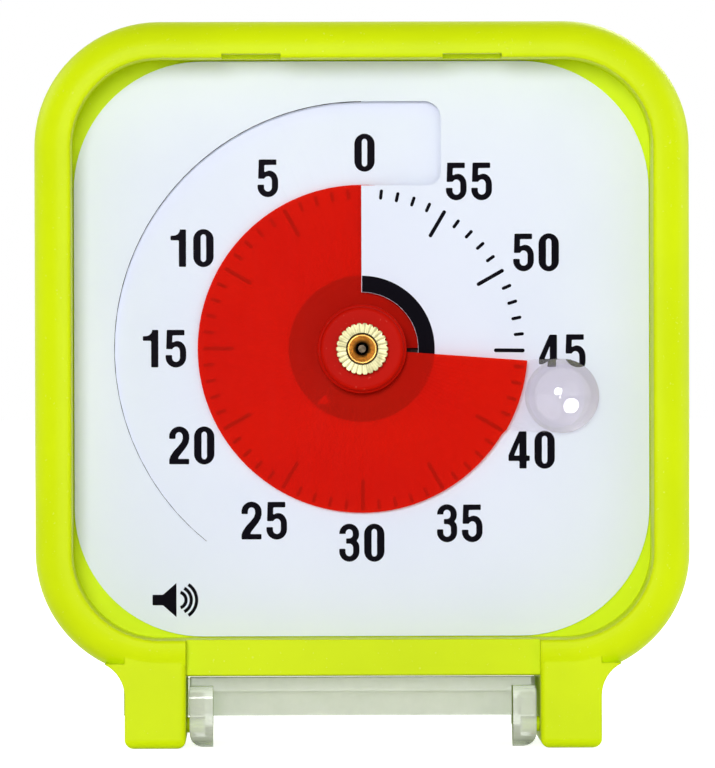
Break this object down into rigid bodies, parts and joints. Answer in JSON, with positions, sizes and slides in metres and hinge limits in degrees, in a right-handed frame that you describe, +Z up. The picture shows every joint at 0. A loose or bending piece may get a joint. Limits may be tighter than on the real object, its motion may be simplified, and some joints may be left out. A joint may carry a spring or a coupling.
{
  "type": "visual countdown timer",
  "caption": "Small square countdown timer with a film disc that shrinks as time runs, a clear dome knob on its edge and a hinged clear cover that folds under as a stand.",
  "frame": {"origin": "centre of the footprint, on the table that the feet stand on", "axes": "+Z up, the dial faces -Y, +X to the right seen from the front"},
  "size_m": [0.076, 0.0834, 0.0843],
  "materials": {
    "lime_plastic": "lime green moulded plastic, satin",
    "clear_plastic": "clear moulded polycarbonate",
    "white_card": "white printed dial sheet, matt",
    "red_film": "translucent red film",
    "red_plastic": "red moulded plastic, gloss",
    "brass": "turned brass",
    "steel": "plain steel",
    "black_plastic": "black moulded plastic",
    "smoke_plastic": "natural moulded acetal",
    "copper": "enamelled copper wire",
    "board": "green circuit board",
    "cell_wrap": "plain printed cell wrap"
  },
  "bodies": {
    "case": {"front_frame": "lime_plastic", "rear_cover": "lime_plastic", "case_screws": "steel", "dial_plate": "white_card", "mount_plate": "black_plastic", "plate_screws": "steel", "threaded_bushing": "brass", "hex_nut": "brass", "washer": "steel", "movement_front": "smoke_plastic", "movement_rear": "smoke_plastic", "middle_plate": "smoke_plastic", "stator": "steel", "coil_bobbin": "smoke_plastic", "coil_winding": "copper", "circuit_board": "board", "quartz_crystal": "steel", "aa_cell": "cell_wrap", "contact_positive": "steel", "contact_spring": "steel", "buzzer": "brass", "switch_body": "black_plastic"},
    "disc": {"hub_flange": "red_plastic", "hub_cap": "red_plastic", "knurled_nut": "brass", "arbor": "brass", "centre_wheel": "brass"},
    "film": {"red_film": "red_film", "pull_tab": "clear_plastic", "pull_knob": "clear_plastic"},
    "cover": {"clear_cover": "clear_plastic"},
    "third_gear": {"third_wheel": "smoke_plastic"},
    "fourth_gear": {"fourth_wheel": "smoke_plastic", "arbor_pin": "steel"},
    "rotor_unit": {"rotor": "black_plastic"},
    "slider": {"sound_slider": "black_plastic"},
    "door": {"battery_door": "lime_plastic"}
  },
  "joints": [
    {"name": "disc_turn", "type": "hinge", "parent": "case", "child": "disc", "pos_m": [0, -0.03374, 0.0463], "axis": [0, 1, 0], "range_deg": [-94.2, 265.8]},
    {"name": "film_creep", "type": "slide", "parent": "disc", "child": "film", "axis": [0, 1, 0], "range_m": [-0.00069, 0.00193]},
    {"name": "third_turn", "type": "hinge", "parent": "case", "child": "third_gear", "pos_m": [-0.00723, -0.02174, 0.05353], "axis": [0, 1, 0], "continuous": true},
    {"name": "fourth_turn", "type": "hinge", "parent": "case", "child": "fourth_gear", "pos_m": [0, -0.02174, 0.0463], "axis": [0, 1, 0], "continuous": true},
    {"name": "rotor_turn", "type": "hinge", "parent": "case", "child": "rotor_unit", "pos_m": [0.00621, -0.02174, 0.05251], "axis": [0, 1, 0], "continuous": true},
    {"name": "cover_swing", "type": "hinge", "parent": "case", "child": "cover", "pos_m": [0, -0.03584, 0.00255], "axis": [-1, 0, 0], "range_deg": [0, 267.32]},
    {"name": "sound_slide", "type": "slide", "parent": "case", "child": "slider", "axis": [1, 0, 0], "range_m": [0, 0.004]},
    {"name": "door_pull", "type": "slide", "parent": "case", "child": "door", "axis": [0, 1, 0], "range_m": [0, 0.012]}
  ],
  "couplings": [
    {"joint": "film_creep", "follows": "disc_turn", "m_per_rad": 0.0004138},
    {"joint": "third_turn", "follows": "disc_turn", "ratio": -7.5},
    {"joint": "fourth_turn", "follows": "disc_turn", "ratio": 60},
    {"joint": "rotor_turn", "follows": "disc_turn", "ratio": -360}
  ]
}
